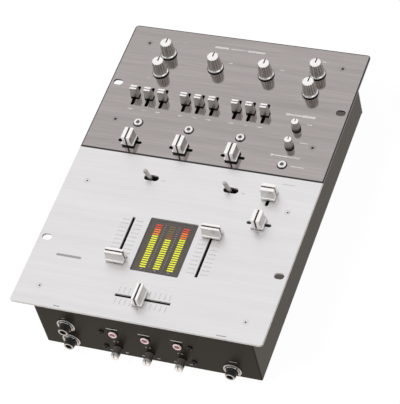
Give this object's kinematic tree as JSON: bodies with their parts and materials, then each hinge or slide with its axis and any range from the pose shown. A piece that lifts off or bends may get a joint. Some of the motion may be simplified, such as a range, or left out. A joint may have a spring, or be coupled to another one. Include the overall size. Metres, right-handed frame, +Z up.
{
  "type": "dj mixer",
  "caption": "Compact battle-style audio mixer: a folded steel case under a split brushed plate with rack slots, rotary knobs, lever and slide faders, toggles, lit buttons and a lamp meter.",
  "frame": {"origin": "on the surface the feet stand on, under the middle of the face plates", "axes": "+X to the right, +Y to the rear panel, +Z up"},
  "size_m": [0.254, 0.3569, 0.1044],
  "materials": {
    "dark_plate": "brushed and anodised dark grey",
    "silver_plate": "brushed bright silver",
    "black_case": "satin black paint on folded steel",
    "foot_rubber": "moulded black rubber",
    "plated_screw": "zinc-plated steel",
    "black_screw": "black oxide steel",
    "control_body": "black moulded control bodies",
    "smoked_window": "smoked clear acrylic",
    "lamp_plastic": "diffusing lamp segments",
    "circuit_board": "glass-fibre board",
    "spacer_brass": "turned brass",
    "jack_plastic": "black moulded plastic",
    "chrome_trim": "polished chrome plate",
    "phono_metal": "nickel-plated brass",
    "supply_metal": "wound core and supply board",
    "knob_plastic": "silver-plated plastic",
    "front_knob_plastic": "black plastic with a bright end",
    "fader_cap_plastic": "silver-plated plastic",
    "button_plastic": "pale plastic ring with a red lens"
  },
  "bodies": {
    "case": {"rear_plate": "dark_plate", "front_plate": "silver_plate", "chassis_tray": "black_case", "rear_panel": "black_case", "feet": "foot_rubber", "plate_screws": "plated_screw", "case_screws": "black_screw", "rotary_bodies": "control_body", "mini_fader_bodies": "control_body", "long_fader_bodies": "control_body", "switch_bodies": "control_body", "meter_window": "smoked_window", "meter_lamps": "lamp_plastic", "control_boards": "circuit_board", "connector_boards": "circuit_board", "board_spacers": "spacer_brass", "jack_sockets": "jack_plastic", "jack_nuts": "chrome_trim", "phono_sockets": "phono_metal", "mains_inlet": "jack_plastic", "power_supply": "supply_metal"},
    "mic_knob": {"mic_knob": "knob_plastic"},
    "gain_knob_1": {"gain_knob_1": "knob_plastic"},
    "gain_knob_2": {"gain_knob_2": "knob_plastic"},
    "gain_knob_3": {"gain_knob_3": "knob_plastic"},
    "master_knob": {"master_knob": "knob_plastic"},
    "booth_knob": {"booth_knob": "knob_plastic"},
    "phones_level_knob": {"phones_level_knob": "knob_plastic"},
    "phones_mix_knob": {"phones_mix_knob": "knob_plastic"},
    "front_knob_left": {"front_knob_left": "front_knob_plastic"},
    "front_knob_middle": {"front_knob_middle": "front_knob_plastic"},
    "front_knob_right": {"front_knob_right": "front_knob_plastic"},
    "eq_low_lever_1": {"eq_low_lever_1": "fader_cap_plastic"},
    "eq_mid_lever_1": {"eq_mid_lever_1": "fader_cap_plastic"},
    "eq_high_lever_1": {"eq_high_lever_1": "fader_cap_plastic"},
    "eq_low_lever_2": {"eq_low_lever_2": "fader_cap_plastic"},
    "eq_mid_lever_2": {"eq_mid_lever_2": "fader_cap_plastic"},
    "eq_high_lever_2": {"eq_high_lever_2": "fader_cap_plastic"},
    "eq_low_lever_3": {"eq_low_lever_3": "fader_cap_plastic"},
    "eq_mid_lever_3": {"eq_mid_lever_3": "fader_cap_plastic"},
    "eq_high_lever_3": {"eq_high_lever_3": "fader_cap_plastic"},
    "pan_fader_1": {"pan_fader_1": "fader_cap_plastic"},
    "pan_fader_2": {"pan_fader_2": "fader_cap_plastic"},
    "pan_fader_3": {"pan_fader_3": "fader_cap_plastic"},
    "curve_fader_front": {"curve_fader_front": "fader_cap_plastic"},
    "curve_fader_rear": {"curve_fader_rear": "fader_cap_plastic"},
    "line_fader_left": {"line_fader_left": "fader_cap_plastic"},
    "line_fader_right": {"line_fader_right": "fader_cap_plastic"},
    "crossfader": {"crossfader": "fader_cap_plastic"},
    "input_toggle_left": {"input_toggle_left": "chrome_trim"},
    "input_toggle_right": {"input_toggle_right": "chrome_trim"},
    "cue_button_1": {"cue_button_1": "button_plastic"},
    "cue_button_2": {"cue_button_2": "button_plastic"},
    "cue_button_3": {"cue_button_3": "button_plastic"},
    "effect_button": {"effect_button": "button_plastic"},
    "front_button_left": {"front_button_left": "button_plastic"},
    "front_button_middle": {"front_button_middle": "button_plastic"},
    "front_button_right": {"front_button_right": "button_plastic"},
    "power_rocker": {"power_rocker": "jack_plastic"},
    "earth_screw": {"earth_screw": "plated_screw"}
  },
  "joints": [
    {"name": "mic_knob_turn", "type": "hinge", "parent": "case", "child": "mic_knob", "pos_m": [-0.0788, 0.145, 0.087], "axis": [0, 0, 1], "range_deg": [-150, 150]},
    {"name": "gain_knob_1_turn", "type": "hinge", "parent": "case", "child": "gain_knob_1", "pos_m": [-0.0788, 0.12, 0.087], "axis": [0, 0, 1], "range_deg": [-150, 150]},
    {"name": "gain_knob_2_turn", "type": "hinge", "parent": "case", "child": "gain_knob_2", "pos_m": [-0.0245, 0.135, 0.087], "axis": [0, 0, 1], "range_deg": [-150, 150]},
    {"name": "gain_knob_3_turn", "type": "hinge", "parent": "case", "child": "gain_knob_3", "pos_m": [0.0298, 0.135, 0.087], "axis": [0, 0, 1], "range_deg": [-150, 150]},
    {"name": "master_knob_turn", "type": "hinge", "parent": "case", "child": "master_knob", "pos_m": [0.081, 0.145, 0.087], "axis": [0, 0, 1], "range_deg": [-150, 150]},
    {"name": "booth_knob_turn", "type": "hinge", "parent": "case", "child": "booth_knob", "pos_m": [0.081, 0.12, 0.087], "axis": [0, 0, 1], "range_deg": [-150, 150]},
    {"name": "phones_level_knob_turn", "type": "hinge", "parent": "case", "child": "phones_level_knob", "pos_m": [0.081, 0.0736, 0.087], "axis": [0, 0, 1], "range_deg": [-150, 150]},
    {"name": "phones_mix_knob_turn", "type": "hinge", "parent": "case", "child": "phones_mix_knob", "pos_m": [0.081, 0.0507, 0.087], "axis": [0, 0, 1], "range_deg": [-150, 150]},
    {"name": "front_knob_left_turn", "type": "hinge", "parent": "case", "child": "front_knob_left", "pos_m": [-0.034, -0.1673, 0.019], "axis": [0, -1, 0], "range_deg": [-150, 150]},
    {"name": "front_knob_middle_turn", "type": "hinge", "parent": "case", "child": "front_knob_middle", "pos_m": [-0.001, -0.1673, 0.019], "axis": [0, -1, 0], "range_deg": [-150, 150]},
    {"name": "front_knob_right_turn", "type": "hinge", "parent": "case", "child": "front_knob_right", "pos_m": [0.032, -0.1673, 0.019], "axis": [0, -1, 0], "range_deg": [-150, 150]},
    {"name": "eq_low_lever_1_slide", "type": "slide", "parent": "case", "child": "eq_low_lever_1", "axis": [0, 1, 0], "range_m": [-0.01, 0.01]},
    {"name": "eq_mid_lever_1_slide", "type": "slide", "parent": "case", "child": "eq_mid_lever_1", "axis": [0, 1, 0], "range_m": [-0.01, 0.01]},
    {"name": "eq_high_lever_1_slide", "type": "slide", "parent": "case", "child": "eq_high_lever_1", "axis": [0, 1, 0], "range_m": [-0.01, 0.01]},
    {"name": "eq_low_lever_2_slide", "type": "slide", "parent": "case", "child": "eq_low_lever_2", "axis": [0, 1, 0], "range_m": [-0.01, 0.01]},
    {"name": "eq_mid_lever_2_slide", "type": "slide", "parent": "case", "child": "eq_mid_lever_2", "axis": [0, 1, 0], "range_m": [-0.01, 0.01]},
    {"name": "eq_high_lever_2_slide", "type": "slide", "parent": "case", "child": "eq_high_lever_2", "axis": [0, 1, 0], "range_m": [-0.01, 0.01]},
    {"name": "eq_low_lever_3_slide", "type": "slide", "parent": "case", "child": "eq_low_lever_3", "axis": [0, 1, 0], "range_m": [-0.01, 0.01]},
    {"name": "eq_mid_lever_3_slide", "type": "slide", "parent": "case", "child": "eq_mid_lever_3", "axis": [0, 1, 0], "range_m": [-0.01, 0.01]},
    {"name": "eq_high_lever_3_slide", "type": "slide", "parent": "case", "child": "eq_high_lever_3", "axis": [0, 1, 0], "range_m": [-0.01, 0.01]},
    {"name": "pan_fader_1_slide", "type": "slide", "parent": "case", "child": "pan_fader_1", "axis": [1, 0, 0], "range_m": [-0.01, 0.01]},
    {"name": "pan_fader_2_slide", "type": "slide", "parent": "case", "child": "pan_fader_2", "axis": [1, 0, 0], "range_m": [-0.01, 0.01]},
    {"name": "pan_fader_3_slide", "type": "slide", "parent": "case", "child": "pan_fader_3", "axis": [1, 0, 0], "range_m": [-0.01, 0.01]},
    {"name": "curve_fader_front_slide", "type": "slide", "parent": "case", "child": "curve_fader_front", "axis": [1, 0, 0], "range_m": [-0.01, 0.01]},
    {"name": "curve_fader_rear_slide", "type": "slide", "parent": "case", "child": "curve_fader_rear", "axis": [0, 1, 0], "range_m": [-0.01, 0.01]},
    {"name": "line_fader_left_slide", "type": "slide", "parent": "case", "child": "line_fader_left", "axis": [0, 1, 0], "range_m": [0, 0.045]},
    {"name": "line_fader_right_slide", "type": "slide", "parent": "case", "child": "line_fader_right", "axis": [0, 1, 0], "range_m": [-0.045, 0]},
    {"name": "crossfader_slide", "type": "slide", "parent": "case", "child": "crossfader", "axis": [1, 0, 0], "range_m": [-0.0199, 0.0251]},
    {"name": "input_toggle_left_turn", "type": "hinge", "parent": "case", "child": "input_toggle_left", "pos_m": [-0.0413, -0.012, 0.083], "axis": [0, 1, 0], "range_deg": [0, 38]},
    {"name": "input_toggle_right_turn", "type": "hinge", "parent": "case", "child": "input_toggle_right", "pos_m": [0.0413, -0.012, 0.083], "axis": [0, 1, 0], "range_deg": [0, 38]},
    {"name": "cue_button_1_slide", "type": "slide", "parent": "case", "child": "cue_button_1", "axis": [0, 0, -1], "range_m": [0, 0.0015], "stiffness_N_per_m": 600},
    {"name": "cue_button_2_slide", "type": "slide", "parent": "case", "child": "cue_button_2", "axis": [0, 0, -1], "range_m": [0, 0.0015], "stiffness_N_per_m": 600},
    {"name": "cue_button_3_slide", "type": "slide", "parent": "case", "child": "cue_button_3", "axis": [0, 0, -1], "range_m": [0, 0.0015], "stiffness_N_per_m": 600},
    {"name": "effect_button_slide", "type": "slide", "parent": "case", "child": "effect_button", "axis": [0, 0, -1], "range_m": [0, 0.0015], "stiffness_N_per_m": 600},
    {"name": "front_button_left_slide", "type": "slide", "parent": "case", "child": "front_button_left", "axis": [0, 1, 0], "range_m": [0, 0.0015], "stiffness_N_per_m": 600},
    {"name": "front_button_middle_slide", "type": "slide", "parent": "case", "child": "front_button_middle", "axis": [0, 1, 0], "range_m": [0, 0.0015], "stiffness_N_per_m": 600},
    {"name": "front_button_right_slide", "type": "slide", "parent": "case", "child": "front_button_right", "axis": [0, 1, 0], "range_m": [0, 0.0015], "stiffness_N_per_m": 600},
    {"name": "power_rocker_turn", "type": "hinge", "parent": "case", "child": "power_rocker", "pos_m": [0.086, 0.1653, 0.0542], "axis": [0, 0, -1], "range_deg": [0, 14]},
    {"name": "earth_screw_turn", "type": "hinge", "parent": "case", "child": "earth_screw", "pos_m": [-0.00225, 0.1673, 0.04188], "axis": [0, 1, 0], "continuous": true}
  ]
}
